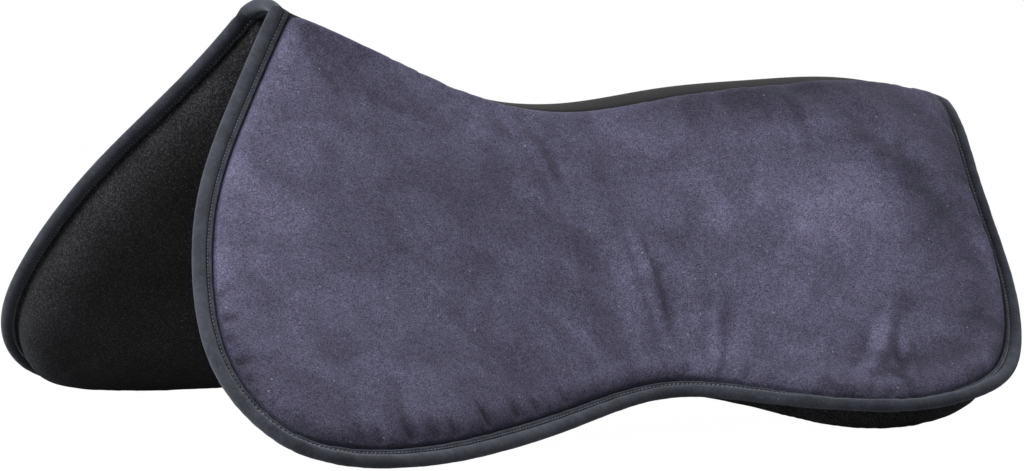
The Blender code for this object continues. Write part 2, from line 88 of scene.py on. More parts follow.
SQUASHED = 0.001              # height under which the pad is pressed flat by the floor
FOAM_STEP = 0.006             # between the points of the foam's mesh
FOAM_GAP = 0.0003             # from each face to the seam surface, at the edge
FOAM_INSIDE = (0.0030, 0.0020)   # how far it stays inside the cover and inside the lining
FOAM_COLOR = (0.78, 0.72, 0.55)


def smooth_curve(knots, values, at):
    """Natural cubic spline through values at the knots, straight beyond both ends."""
    knots = np.asarray(knots, float)
    values = np.asarray(values, float)
    if values.ndim == 1:
        return smooth_curve(knots, values[:, None], at)[..., 0]
    at = np.asarray(at, float)
    gap = np.diff(knots)
    rise = np.diff(values, axis=0) / gap[:, None]
    system = np.eye(len(knots))
    right = np.zeros_like(values)
    for k in range(1, len(knots) - 1):
        system[k, k - 1:k + 2] = gap[k - 1], 2 * (gap[k - 1] + gap[k]), gap[k]
        right[k] = 6 * (rise[k] - rise[k - 1])
    bend = np.linalg.solve(system, right)
    inside = np.clip(at, knots[0], knots[-1])
    k = np.clip(np.searchsorted(knots, inside) - 1, 0, len(knots) - 2)
    h = gap[k][..., None]
    a = (knots[k + 1] - inside)[..., None] / h
    b = 1 - a
    curve = a * values[k] + b * values[k + 1]
    curve = curve + ((a**3 - a) * bend[k] + (b**3 - b) * bend[k + 1]) * h**2 / 6
    tilt = rise[k] + ((3 * b**2 - 1) * bend[k + 1] - (3 * a**2 - 1) * bend[k]) * h / 6
    return curve + tilt * (at - inside)[..., None]


def seam_height(station):
    """Height of the seam: a spline through its stations, plus the pad's shift and tilt."""
    station = np.asarray(station, float)
    return smooth_curve(SEAM_X, SEAM_Z, station) + LEVEL[0] + LEVEL[1] * station


def drape_table():
    """Seam surface of the right panel on a grid of stations and depths, with its normals.

    From the seam the surface steps outwards by the cosine of the slope and down by its
    sine; both are added up along the depth. The normal is the cross product of the
    surface's two directions.
    """
    stations = np.linspace(-0.37, 0.37, 371)
    depths = np.linspace(-0.02, 0.44, 461)
    share = depths[None] / smooth_curve(DEPTH_X, DEPTH_T, stations)[:, None]
    weight = smooth_curve(SLOPE_SHARE, np.eye(len(SLOPE_SHARE)), share)
    row = smooth_curve(SLOPE_X, np.radians(SLOPE_DEG), stations)
    slope = np.sum(weight * row[:, None], axis=-1)
    step = depths[1] - depths[0]
    zero = int(round(-depths[0] / step))
    sums = []
    for rate in (np.cos(slope), np.sin(slope)):
        total = np.zeros_like(rate)
        total[:, 1:] = np.cumsum((rate[:, 1:] + rate[:, :-1]) / 2 * step, axis=1)
        sums.append(total - total[:, zero:zero + 1])
    spot = np.stack([np.broadcast_to(stations[:, None], share.shape), STRIP_HALF + sums[0],
                     seam_height(stations)[:, None] - sums[1]], axis=-1)
    normal = np.cross(np.gradient(spot, axis=0), np.gradient(spot, axis=1))
    normal /= np.linalg.norm(normal, axis=-1, keepdims=True)
    return stations, depths, np.concatenate([spot, normal], axis=-1)


DRAPE_X, DRAPE_T, DRAPE = drape_table()


def read_grid(grid, at):
    """Values of a grid at places counted in its steps, blended from the nodes round them."""
    low = np.clip(np.floor(at).astype(int), 0, np.array(grid.shape[:2]) - 2)
    i, j = low[..., 0], low[..., 1]
    u, v = (at - low)[..., :1], (at - low)[..., 1:]
    rows = grid[i, j] * (1 - u) + grid[i + 1, j] * u
    return rows * (1 - v) + (grid[i, j + 1] * (1 - u) + grid[i + 1, j + 1] * u) * v


def drape_at(flat):
    """Points and unit normals of the seam surface at flat spots."""
    step = DRAPE_X[1] - DRAPE_X[0], DRAPE_T[1] - DRAPE_T[0]
    drape = read_grid(DRAPE, (flat - (DRAPE_X[0], DRAPE_T[0])) / step)
    return drape[..., :3], drape[..., 3:]


def lifted(spots, normals, height, side):
    """Points at a height along the normals over spots, mirrored to a side."""
    return (spots + np.asarray(height)[..., None] * normals) * np.array([1.0, side, 1.0])


def on_panel(flat, height, side):
    """Points at a height over flat spots of the seam surface."""
    return lifted(*drape_at(flat), height, side)


def lengths(line):
    """Length along a flat line at each of its points, from 0 at the first."""
    return np.concatenate([[0.0], np.cumsum(np.hypot(*np.diff(line, axis=0).T))])


def read_along(at, length, values):
    """Rows of values that are given at some lengths, read at others."""
    return np.stack([np.interp(at, length, axis) for axis in values.T], axis=-1)


def even_steps(line, step):
    """A line cut again into even steps of about the given length, ends kept."""
    length = lengths(line)
    places = np.linspace(0, length[-1], max(int(round(length[-1] / step)), 2) + 1)
    return read_along(places, length, line)


def panel_edge():
    """The panel's outline, flat, from the pommel round to the cantle, and its inward side.

    A spline through the outline's points over their chords to the power 0.7.
    """
    points = np.array(OUTLINE)
    chord = np.hypot(*np.diff(points, axis=0).T) ** 0.7
    knots = np.concatenate([[0.0], np.cumsum(chord)])
    line = even_steps(smooth_curve(knots, points, np.linspace(0, knots[-1], 4000)), 0.0010)
    slope = np.gradient(line, axis=0)
    slope /= np.hypot(*slope.T)[:, None]
    return line, np.stack([slope[:, 1], -slope[:, 0]], axis=-1)


EDGE, INWARD = panel_edge()


def stuffed_rim(step):
    """Line round the stuffed part, from the pommel to the cantle: the outline moved in by
    the sewn edge's width, and carried on to the spine seam at the pommel."""
    inner = EDGE + SEWN * INWARD
    corner = EDGE[0, 0] + SEWN / INWARD[0, 0], SEAM_START
    return even_steps(np.concatenate([[corner], inner[inner[:, 1] > SEAM_START + 0.001]]), step)


RIM = stuffed_rim(0.0025)


def nearest(flat, line):
    """Distance of flat spots from a line, below 0 on its left, and the place along it of
    the nearest point: every spot is dropped on every step of the line."""
    run = np.diff(line, axis=0)
    offset = flat[:, None] - line[None, :-1]
    along = np.clip(np.sum(offset * run, axis=-1) / np.sum(run**2, axis=-1), 0, 1)
    gap = offset - along[..., None] * run
    far = np.hypot(gap[..., 0], gap[..., 1])
    near = np.argmin(far, axis=1)
    rows = np.arange(len(flat))
    right = run[near, 1] * gap[rows, near, 0] - run[near, 0] * gap[rows, near, 1]
    place = lengths(line)[near] + along[rows, near] * np.hypot(*run[near].T)
    return far[rows, near] * np.sign(right), place


def from_rim(flat):
    """How far flat spots are inside the rim, and the places of the nearest points on it."""
    parts = [nearest(part, RIM) for part in np.array_split(flat, max(len(flat) // 2000, 1))]
    return [np.concatenate(values) for values in zip(*parts)]


Net = namedtuple("Net", "flat faces count reach below place")


def flat_panel(step, first=(0.0005, 0.0014, 0.0028, 0.0048, 0.0074)):
    """Net of triangles over the flat panel: its border, tucked under the tape, rows of
    points along the rim at the first distances, then staggered rows a step apart. It holds
    the flat spots, the faces, the count of border points, and each spot's reach inside the
    rim, depth below the spine seam, and place along the rim."""
    rim = even_steps(RIM, step)
    top = even_steps(np.array([[rim[0, 0], SEAM_START], [rim[-1, 0], SEAM_START]]), step)
    loop = np.concatenate([top[1:-1], rim[::-1]])
    ahead = np.roll(loop, -1, axis=0) - np.roll(loop, 1, axis=0)
    ahead /= np.hypot(*ahead.T)[:, None]
    inward = np.stack([-ahead[:, 1], ahead[:, 0]], axis=-1)
    seam = len(top) - 2
    border = loop - np.where(np.arange(len(loop)) < seam, SEAM_TUCK, TUCK)[:, None] * inward
    corner = SEAM_START - SEAM_TUCK
    border[[seam, -1]] = [[rim[-1, 0] + TUCK, corner], [rim[0, 0] - TUCK, corner]]
    spots = [border, loop]
    for distance in first:
        ring = loop + distance * inward
        clear = np.minimum(from_rim(ring)[0], ring[:, 1] - SEAM_START)
        spots.append(ring[clear > 0.985 * distance])
    low, high = loop.min(axis=0), loop.max(axis=0)
    rows = np.arange(low[1], high[1], 0.866 * step)
    columns = np.arange(low[0], high[0], step)
    grid = np.stack(np.meshgrid(columns, rows), axis=-1)
    grid[1::2, :, 0] += step / 2
    grid = grid.reshape(-1, 2)
    clear = np.minimum(from_rim(grid)[0], grid[:, 1] - SEAM_START)
    spots.append(grid[clear > first[-1] + 0.7 * step])
    spots = np.concatenate(spots)
    count = len(border)
    k = np.arange(count)
    edges = np.concatenate([np.stack([k, (k + 1) % count], axis=-1),
                            np.stack([k, (k + 1) % count], axis=-1) + count]).tolist()
    made = delaunay_2d_cdt([Vector(spot) for spot in spots.tolist()], edges, [], 1, 1e-7)
    places = np.array([source[0] for source in made[3]])
    faces = places[np.array(made[2])]
    a, b, c = (spots[faces[:, k]].T for k in range(3))
    over = (b[0] - a[0]) * (c[1] - a[1]) - (b[1] - a[1]) * (c[0] - a[0]) < 0
    faces[over] = faces[over][:, ::-1]
    reach, place = from_rim(spots)
    reach[:count] = -TUCK
    reach[count:2 * count][seam:] = 0.0
    return Net(spots, faces, count, reach, spots[:, 1] - SEAM_START, place)


def rounded(distance, roll):
    """Share of the full puff: a quarter of an ellipse up from the edge, then level."""
    share = np.clip(distance / roll, 0, 1)
    return np.sqrt(1 - (1 - share) ** 2)


def cover_puff(net, less=0.0):
    """Height of the suede side: rounded up from the tape, widely round the front lobe and
    tightly at the waist, and from the seam. What lies inside it is less high and starts
    further in."""
    roll = np.interp(net.flat[:, 0], COVER_ROLL_X, COVER_ROLL)
    seam_roll = np.interp(net.flat[:, 0], COVER_SEAM_X, COVER_SEAM_ROLL)
    return ((COVER_RISE - less) * rounded(net.reach - less, roll)
            * rounded(net.below - less / 3, seam_roll))


def lining_drop(net, name, less=0.0):
    """Depth of the underside: less at the rear, about half along the spine, and rounded up
    to the edge, over a wide border under the front lobe, widest on the left, and over a
    narrow one under the rear lobe. What lies inside it is less deep and starts further in."""
    full = np.interp(net.flat[:, 0], (-0.20, 0.05), LINING_RISE)
    full = full * np.interp(net.flat[:, 1], (0.0, 0.13), (0.46, 1.0)) - less
    roll = np.interp(net.flat[:, 0], (-0.16, 0.04), LINING_ROLL[name])
    return full * rounded(net.reach - less, roll) * rounded(net.below - less, 0.012)


def new_object(name, data):
    """Object of a mesh, lamp or camera, in the scene at the origin."""
    made = bpy.data.objects.new(name, data)
    bpy.context.scene.collection.objects.link(made)
    return made


def new_piece(name, points, faces, material):
    """Object with a smooth mesh of the given points and faces. Where it comes near the
    floor it is squeezed: below a height of SQUASHED = h, z becomes h * exp(z / h - 1)."""
    points = np.array(points, float).reshape(-1, 3)
    low = points[:, 2] < SQUASHED
    points[low, 2] = SQUASHED * np.exp(points[low, 2] / SQUASHED - 1)
    mesh = bpy.data.meshes.new(name)
    faces = faces.tolist() if isinstance(faces, np.ndarray) else faces
    mesh.from_pydata(points.tolist(), [], faces)
    mesh.shade_smooth()
    mesh.materials.append(material)
    return new_object(name, mesh)


def add_node(tree, kind, inputs=None, out=0, **settings):
    """Output of a new shader node. An input, by name or place, is linked to another node's
    output or set to a value."""
    node = tree.nodes.new("ShaderNode" + kind)
    for name, value in settings.items():
        setattr(node, name, value)
    for key, value in (inputs or {}).items():
        if isinstance(value, bpy.types.NodeSocket):
            tree.links.new(value, node.inputs[key])
        else:
            node.inputs[key].default_value = value
    return node.outputs[out]


def scaled(color, by):
    """Colour times a number."""
    return tuple(channel * by for channel in color)


class Fabric:
    """Material of a fabric. The methods add nodes and return an output; a colour is an
    output or three numbers."""

    def __init__(self, name, roughness, sheen=0.0, sheen_roughness=0.5, sheen_tint=(1, 1, 1)):
        """What is the same all over is set on the shader."""
        self.material = bpy.data.materials.new(name)
        self.material.use_nodes = True
        self.tree = self.material.node_tree
        self.shader = self.tree.nodes["Principled BSDF"]
        for socket, value in (("Roughness", roughness), ("Specular IOR Level", 0.25),
                              ("Sheen Weight", sheen), ("Sheen Roughness", sheen_roughness),
                              ("Sheen Tint", (*sheen_tint, 1))):
            self.shader.inputs[socket].default_value = value
        self.place = self.node("TexCoord", out="Object")

    def node(self, kind, inputs=None, out=0, **settings):
        """Output of a new node in this material."""
        return add_node(self.tree, kind, inputs, out, **settings)

    def math(self, operation, first, second=0.0):
        """Result of one sum."""
        return self.node("Math", {0: first, 1: second}, operation=operation)

    def cloud(self, scale, detail=2.0, rough=0.5, distortion=0.0):
        """Noise from 0 to 1 with that many clouds to a metre."""
        return self.node("TexNoise", {"Vector": self.place, "Scale": scale, "Detail": detail,
                                      "Roughness": rough, "Distortion": distortion})

    def dots(self, scale):
        """Distance from the nearest of that many strewn dots to a metre."""
        return self.node("TexVoronoi", {"Vector": self.place, "Scale": scale})

    def ramp(self, value, low, high, first=0.0, last=1.0):
        """Value carried from the range low to high over to first to last, smoothly."""
        return self.node("MapRange", {"Value": value, "From Min": low, "From Max": high,
                                      "To Min": first, "To Max": last},
                         interpolation_type="SMOOTHSTEP")

    def mixed(self, share, first, last, mode="MIX"):
        """Two colours mixed by a share."""
        first, last = (color if isinstance(color, bpy.types.NodeSocket) else (*color, 1.0)
                       for color in (first, last))
        return self.node("Mix", {0: share, 6: first, 7: last}, 2, data_type="RGBA",
                         blend_type=mode)

    def mottled(self, color, dark, light, value, low, high):
        """Colour from dark to light times itself, as the value runs from low to high."""
        return self.mixed(self.ramp(value, low, high), scaled(color, dark), scaled(color, light))

    def times(self, color, *ramp):
        """Colour multiplied by a ramp."""
        return self.mixed(1.0, color, self.ramp(*ramp), "MULTIPLY")

    def number(self, name):
        """Named number of the piece's vertices."""
        return self.node("Attribute", out="Fac", attribute_name=name)

    def nap_and_painted_light(self, color, cloudy=0.0):
        """Colour of the pile times 2 ^ (number + cloudy). The vertices' number holds the nap's
        own tone and painted light and shade.
        """
        doublings = self.math("ADD", self.number("nap_and_painted_light"), cloudy)
        return self.mixed(1.0, color, self.math("POWER", 2.0, doublings), "MULTIPLY")

    def with_painted_shade(self, color, dark):
        """Colour, multiplied by the dark one by the vertices' groove number: painted shade."""
        return self.mixed(self.number("groove"), color, self.mixed(1.0, color, dark, "MULTIPLY"))

    def done(self, color, *bumps):
        """The material, with its colour and with bumps on top of each other: (height,
        strength, metres)."""
        normal = {}
        for height, strength, distance in bumps:
            normal = {"Normal": self.node("Bump", {"Height": height, "Strength": strength,
                                                   "Distance": distance, **normal})}
        self.tree.links.new(color, self.shader.inputs["Base Color"])
        self.tree.links.new(normal["Normal"], self.shader.inputs["Normal"])
        return self.material


def foam_material():
    """Cream foam: small round pores, a little darker inside by painted shade, over a faint
    mottling.
    """
    foam = Fabric("memory_foam", 0.92)
    depth = foam.ramp(foam.dots(650.0), 0.05, 0.45)
    tone = foam.mixed(foam.cloud(30.0), scaled(FOAM_COLOR, 0.93), FOAM_COLOR)
    return foam.done(foam.mixed(depth, scaled(FOAM_COLOR, 0.72), tone), (depth, 0.6, 0.0004))


def layer_pair(net, upper, lower, side, shift=0.0):
    """Closed shell between an upper and a lower height over the flat panel, both shifted
    alike, walled at the edge. Returns points and faces that point outwards."""
    points = np.concatenate([on_panel(net.flat, height, side) + shift
                             for height in (upper, lower)])
    k = np.arange(net.count)
    n = (k + 1) % net.count
    size = len(net.flat)
    walls = np.concatenate([np.stack([k, k + size, n], axis=-1),
                            np.stack([n, k + size, n + size], axis=-1)])
    shell = np.concatenate([net.faces, net.faces[:, ::-1] + size, walls])
    return points, shell[:, ::-1] if side < 0 else shell


net = flat_panel(FOAM_STEP, (0.0016, 0.0040))
foam = foam_material()
for name, side in SIDES:
    upper = FOAM_GAP + cover_puff(net, FOAM_INSIDE[0])
    lower = -FOAM_GAP - lining_drop(net, name, FOAM_INSIDE[1])
    core = new_piece(name + "_foam", *layer_pair(net, upper, lower, side), foam)
    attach(core, name + "_panel")
    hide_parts(name + "_foam_core")


# Linings. The underside of each panel is one piece of black jersey with a short brushed
# pile, drawn over the foam and sewn into the edge all round. It is fuller than the suede
# side, because the foam swells downwards between the seams.

LINING_COLOR = (0.0088, 0.0087, 0.0096)
LINING_THICK = 0.0018
LINING_STEP = 0.0032          # between the points of its mesh
LINING_COARSE = 0.0065        # and of the net on which it settles
LINING_SPARE = 0.03           # share by which it is cut larger than the foam
LAYER_GAP = 0.0002            # from each fabric to the seam surface, at the edge
PRESSED_THICK = 0.0007        # thickness of a fabric in the sewn edge
SETTLE_STEPS = 22             # of the cloth simulation
SETTLE_MOST = 0.006           # the furthest that a point may move


def jersey_material():
    """Black jersey with a short raised pile: a fluff of small tufts with painted shade between
    them, grey fibre tips, wider thin and dense places, and painted light read from the vertices."""
    pile = Fabric("jersey", 0.96, sheen=0.06, sheen_roughness=0.45, sheen_tint=(0.78, 0.86, 1.0))
    fluff = pile.cloud(900.0, 3.0, 0.7)
    tufts = pile.cloud(560.0, 3.0, 0.65)
    wide = pile.cloud(26.0, 3.0, 0.55)
    tone = pile.nap_and_painted_light(pile.mottled(LINING_COLOR, 0.80, 1.30, wide, 0.35, 0.65))
    tone = pile.times(tone, tufts, 0.36, 0.66, 0.50, 1.60)
    tone = pile.times(tone, fluff, 0.36, 0.64, 0.20, 2.60)
    tone = pile.mixed(pile.ramp(fluff, 0.61, 0.69, 0.0, 0.8), tone, (0.130, 0.135, 0.150))
    return pile.done(tone, (wide, 0.25, 0.0020), (tufts, 0.6, 0.0012), (fluff, 0.8, 0.0005))


def pressed(reach, thick):
    """Thickness of a fabric: squeezed in the sewn edge, full 4 mm inside it."""
    return np.interp(reach, (0.0, 0.004), (PRESSED_THICK, thick))


def shell_of(name, net, height, thick, side, material, shift):
    """Fabric layer over the flat panel: its outer face at the given height, its inner face
    a thickness nearer the seam surface, both moved on by the shift."""
    if np.mean(height) > 0:
        upper, lower = height, height - thick
    else:
        upper, lower = height + thick, height
    return new_piece(name, *layer_pair(net, upper, lower, side, shift), material)


def settled(points, faces, fast, free, spare, seed):
    """How far a fabric moves when it settles over the foam. It is cut a little larger than
    the foam, by the spare share at the edge seam and 0.3 of it 9 cm inside. It is held fast
    at its edge and weakly everywhere else, as by the foam behind it, and swells under a
    light pressure."""
    draw = np.random.default_rng(seed)
    start = points + np.where(fast, 0.0, 0.00015)[:, None] * draw.normal(0, 1, points.shape)
    mesh = bpy.data.meshes.new("settling")
    mesh.from_pydata(start.tolist(), [], faces.tolist())
    layer = new_object("settling", mesh)
    slack = np.interp(free, (0.0, 0.03, 0.09), (1.0, 0.6, 0.3))
    for group, weights in (("hold", np.where(fast, 1.0, 0.11)), ("spare", np.round(slack, 1))):
        vertices = layer.vertex_groups.new(name=group)
        for weight in np.unique(weights):
            vertices.add(np.nonzero(weights == weight)[0].tolist(), float(weight), "REPLACE")
    cloth = layer.modifiers.new("settling", "CLOTH")
    cloth.point_cache.frame_start = 1
    cloth.point_cache.frame_end = SETTLE_STEPS
    cloth.collision_settings.use_collision = False
    for setting, value in (
            ("quality", 6), ("mass", 0.15), ("air_damping", 2.0), ("bending_stiffness", 8.0),
            ("tension_stiffness", 15.0), ("compression_stiffness", 15.0),
            ("shear_stiffness", 5.0), ("vertex_group_mass", "hold"), ("pin_stiffness", 1.0),
            ("vertex_group_shrink", "spare"), ("shrink_min", 0.0), ("shrink_max", -spare),
            ("use_pressure", True), ("uniform_pressure_force", 4.0)):
        setattr(cloth.settings, setting, value)
    cloth.settings.effector_weights.gravity = 0.0
    for step in range(1, SETTLE_STEPS + 1):
        bpy.context.scene.frame_set(step)
    made = layer.evaluated_get(bpy.context.evaluated_depsgraph_get()).data
    after = np.empty(3 * len(points), np.float32)
    made.vertices.foreach_get("co", after)
    bpy.data.objects.remove(layer)
    bpy.data.meshes.remove(mesh)
    bpy.context.scene.frame_set(1)
    moved = after.reshape(-1, 3) - points
    size = np.linalg.norm(moved, axis=1, keepdims=True)
    return moved * np.minimum(1.0, SETTLE_MOST / np.maximum(size, 1e-9))


def carried(flat, values, spots):
    """Values at scattered flat places, read at other spots. Each node of a 2.5 mm raster
    takes the mean of the values round it under a bell curve; the spots read it linearly."""
    cell, low = 0.0025, np.array([-0.36, -0.03])
    across, down = 290, 190
    near = np.round((flat - low) / cell).astype(int)
    total = np.zeros((across, down, values.shape[1]))
    weight = np.full((across, down, 1), 1e-6)
    for i in range(-3, 4):
        for j in range(-3, 4):
            node = near + (i, j)
            away = np.sum((low + node * cell - flat) ** 2, axis=1)
            share = np.exp(-away / (2 * 0.0026**2))[:, None]
            np.add.at(total, (node[:, 0], node[:, 1]), share * values)
            np.add.at(weight, (node[:, 0], node[:, 1]), share)
    return read_grid(total / weight, (spots - low) / cell)


def swollen(net, height, side, spare, seed, step):
    """Shift of a panel's fabric: it settles on a coarser net first, which the fine
    one then follows."""
    coarse = flat_panel(step, (0.4 * step, step))
    level = carried(net.flat, height[:, None], coarse.flat)[:, 0]
    faces = coarse.faces if side * level.mean() > 0 else coarse.faces[:, ::-1]
    fast = (coarse.reach < 1e-6) | (coarse.below < 1e-6)
    free = np.minimum(coarse.reach, 1.4 * coarse.below)
    moved = settled(on_panel(coarse.flat, level, side), faces, fast, free, spare, seed)
    return carried(coarse.flat, moved, net.flat) * rounded(net.reach, 0.003)[:, None]


def marked(piece, name, values):
    """Gives the piece a named number for each vertex, which its material reads."""
    numbers = piece.data.attributes.new(name, "FLOAT", "POINT")
    numbers.data.foreach_set("value", np.asarray(values, np.float32))


net = flat_panel(LINING_STEP)
jersey = jersey_material()
for name, side in SIDES:
    thick = pressed(net.reach, LINING_THICK)
    height = -LAYER_GAP - thick - lining_drop(net, name)
    shift = swollen(net, height, side, LINING_SPARE, 71 + side, LINING_COARSE)
    lining = shell_of(name + "_underside", net, height, thick, side, jersey, shift)
    # Painted light: the lining is lighter within about 14 mm of the tape, where its rounded edge
    # turns to the light.
    light = 0.6 * np.exp(-(np.maximum(net.reach, 0) / 0.014) ** 2)
    marked(lining, "nap_and_painted_light", np.tile(light, 2))
    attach(lining, name + "_panel")
    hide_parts(name + "_lining")


# Suede covers. The top side of each panel is brushed suede, cut a little larger than the
# foam and eased into the edge seam, so it rolls up steeply from the binding, puckers along
# it and lies in soft folds elsewhere. The nap is brushed into lighter and darker patches,
# and painted shade darkens its creases, its pleats, the groove by the tape and the lower edge.

SUEDE_COLOR = (0.090, 0.085, 0.136)
COVER_THICK = 0.0016
COVER_STEP = 0.0024           # between the points of its mesh
COVER_COARSE = 0.0050         # and of the net on which it settles
COVER_SPARE = 0.05            # share by which it is cut larger than the foam
SHADE_PLACE = (0.26, 0.34, 0.57, 0.62, 0.82, 0.90, 0.97, 1.0)   # along the rim
SHADE = (0, 1, 1, 0, 0, 0.6, 0.6, 0)   # painted shade there, on the suede's rounding along the lower edge
SHADE_TONE = -0.62            # in doublings of the nap's light
PLEAT_PAINTED_SHADE = -360             # painted shade in the pleats' hollows, in doublings for each metre of depth
SEAM_PUCKERS = 0.6            # share of the edge's puckers that the spine seam has
FOLDS = {     # in mm: flat line (station, depth, station ...), half width, ridge, lean
    "left": (
        ((-213, 5, -198, 13, -186, 28), 2.8, 1, 1.6),
        ((18, 98, 21, 150, 21, 204), 3.6, 1, 2.4),
        ((70, 165, 58, 200, 46, 236), 4.5, 0.6, 1.8),
        ((192, 206, 172, 240, 140, 270), 5.5, 2.4, 3.8),
        ((198, 224, 190, 252, 184, 280), 3.4, 0.6, 2.4),
        ((130, 5, 190, 50, 230, 95, 252, 150), 11, 1.6, 2.4),
        ((190, 4, 240, 50, 275, 105), 10, 1.4, 2.1),
        ((240, 70, 285, 130, 292, 190), 8, 1.2, 1.8),
        ((-160, 48, -146, 53, -126, 57), 3.5, -1.2, 1.2),
        ((-72, 6, -50, 18, -36, 50, -26, 95), 5, 0.9, 2.1),
        ((-40, 4, -22, 30, -10, 70), 6, 0.9, 1.5),
    ),
    "right": (
        ((18, 90, 14, 140, 20, 205), 4.5, 0.9, 2.1),
        ((78, 160, 60, 205, 52, 240), 4.5, 0.6, -1.8),
        ((180, 195, 160, 240, 138, 266), 6, 1.6, 3),
        ((150, 6, 205, 60, 245, 125), 11, 1.6, 2.4),
        ((232, 52, 278, 120, 288, 190), 9, 1.2, 2.1),
        ((-66, 8, -44, 30, -32, 85), 5.5, 0.9, -2.1),
    ),
}

# Strokes of the nap's own lighter and darker zones, and of painted shade along creases and on
# faces turned from the light.
NAP_AND_SHADE_STROKES = {   # flat line and half width in mm, tone in doublings of the nap's light
    "left": (
        ((40, 4, 140, 8, 242, 16, 310, 26), 18, -1.25),
        ((198, 26, 228, 66, 250, 106, 268, 138, 280, 182), 10, -1.15),
        ((130, 226, 178, 258, 218, 256, 276, 222), 12, -1.1),
        ((80, 80, 156, 110, 235, 150), 28, 0.85), ((304, 30, 300, 110), 12, -0.5),
        ((303, 130, 290, 190, 265, 240), 5, 0.35), ((236, 120, 244, 165), 8, -0.4),
        ((22, 100, 25, 150, 28, 206), 4.2, -0.55), ((185, 238, 179, 262, 173, 282), 7, -1.0),
        ((138, 266, 114, 274), 7, -0.8), ((274, 206, 262, 236), 6, -0.75),
        ((209, 192, 206, 218), 5, -0.5), ((-226, -4, -208, 10, -194, 18), 5.5, -1.2),
        ((70, 160, 56, 215), 6, -0.4), ((28, 20, 8, 74, 14, 116), 10, -0.3),
        ((-60, 130, -62, 190, -70, 240), 20, 0.25),
        ((-172, 160, -182, 226, -194, 262), 12, -0.3),
        ((-200, 98, -152, 102, -146, 132), 12, -0.25),
        ((-205, 10, -186, 40, -130, 55), 12, -0.7), ((-112, 38, -40, 42), 12, 0.2),
        ((-262, 130, -285, 190, -300, 262), 12, 0.2),
    ),
    "right": (
        ((120, 16, 230, 40, 296, 120), 17, -0.5), ((60, 110, 170, 130, 230, 190), 24, 0.5),
        ((150, 240, 260, 235), 10, -0.6), ((-20, 60, -40, 150, -30, 210), 16, -0.35),
        ((-120, 60, -170, 150, -160, 250), 26, 0.35),
        ((-300, 300, -280, 350, -210, 345), 7, -0.7),
    ),
}

GATHERS = {   # in mm: place along the rim, half width, depth, distance from it where deepest
    "left": (
        (284, 2.4, 2, 2.3), (304, 3.4, 3, 4.1), (321, 2.6, 2.4, 2.9), (341, 3.6, 3.4, 4.6),
        (356, 3.4, 2, 3.5), (367, 2.4, 1.8, 2.3), (402, 7, 1.6, 4.6), (444, 6, 2.2, 4.6),
        (458, 4.2, 2.4, 4.1), (486, 5.2, 3.8, 5.8), (508, 6.6, 2.6, 4.6), (528, 5, 3, 4.1),
        (565, 4.4, 3.8, 5.8), (598, 6.2, 3.2, 4.6), (620, 4, 2.6, 4.1), (652, 4.6, 2, 4.1),
        (893, 3.4, 2.4, 3.2), (907, 2.8, 2.4, 2.9),
    ),
    "right": (
        (297, 3.4, 2.8, 3.8), (335, 3.4, 3.2, 4.3), (452, 5.6, 2.6, 4.6), (496, 4.6, 3.6, 5.5),
        (541, 6.2, 3, 4.6), (588, 4.4, 3.4, 5.2), (880, 3.4, 2.4, 3.2),
    ),
}


def full_seam(flat):
    """Extra height of the suede beside the spine seam at the pommel, where it is
    pushed up over the strip: highest 4.5 mm below the seam, gone by 25 mm."""
    lift = np.interp(flat[:, 0], (-0.235, -0.210, -0.185, -0.15), (0, 0.0040, 0.0012, 0))
    down = np.maximum(flat[:, 1], 0) / 0.0045
    return lift * down * np.exp(1 - down) * (down > 0)


def suede_material():
    """Brushed suede: very fine nap grain over clouds of lighter and darker pile and over strokes
    of the nap's own tone and of painted shade, with a few specks of lint. In the groove beside
    the tape it has painted shade."""
    nap = Fabric("suede", 0.95, sheen=0.14, sheen_roughness=0.35, sheen_tint=(0.80, 0.78, 0.98))
    patches = nap.cloud(26.0, 4.0, 0.55, 0.6)
    flecks = nap.cloud(230.0, 3.0, 0.6)
    grain = nap.cloud(950.0, 3.0, 0.75)
    tone = nap.mottled(SUEDE_COLOR, 0.92, 1.20, nap.cloud(8.0, 3.0, 0.55), 0.32, 0.68)
    tone = nap.nap_and_painted_light(tone, nap.ramp(patches, 0.34, 0.68, -0.24, 0.28))
    tone = nap.times(tone, flecks, 0.28, 0.72, 0.86, 1.14)
    tone = nap.times(tone, grain, 0.30, 0.70, 0.34, 1.70)
    lint = nap.ramp(nap.dots(90.0), 0.034, 0.058, 1.0, 0.0)
    tone = nap.with_painted_shade(nap.mixed(lint, tone, (0.34, 0.34, 0.38)), (0.22, 0.24, 0.30))
    return nap.done(tone, (patches, 0.20, 0.0010), (flecks, 0.30, 0.0006), (grain, 0.5, 0.0004))


def ripples(at, seed, waves, shortest, longest):
    """Uneven ripple along a length: many sine waves with random lengths and phases."""
    draw = np.random.default_rng(seed)
    length = np.exp(draw.uniform(math.log(shortest), math.log(longest), waves))
    phase = draw.uniform(0, 2 * math.pi, waves)
    size = draw.uniform(0.3, 1.0, waves) * (length / longest) ** 0.5
    angle = 2 * math.pi * at[None] / length[:, None] + phase[:, None]
    return np.sum(size[:, None] * np.sin(angle), axis=0) / math.sqrt(np.sum(size**2) / 2)


def fold(flat, line, width, ridge, lean):
    """Height of one fold along a flat line, fading out at both ends. Across the line it is
    a bell curve of the ridge's height, plus a lean: a hump on the left of the line's
    direction and a hollow on its right, the derivative of the bell."""
    line = np.reshape(line, (-1, 2)) / 1000
    away, place = nearest(flat, line)
    away = away / width * 1000
    share = place / lengths(line)[-1]
    bell = np.exp(-away**2 / 2) * np.sin(math.pi * np.clip(0.08 + 0.84 * share, 0, 1)) ** 1.5
    return bell * (ridge + lean * 1.65 * away)


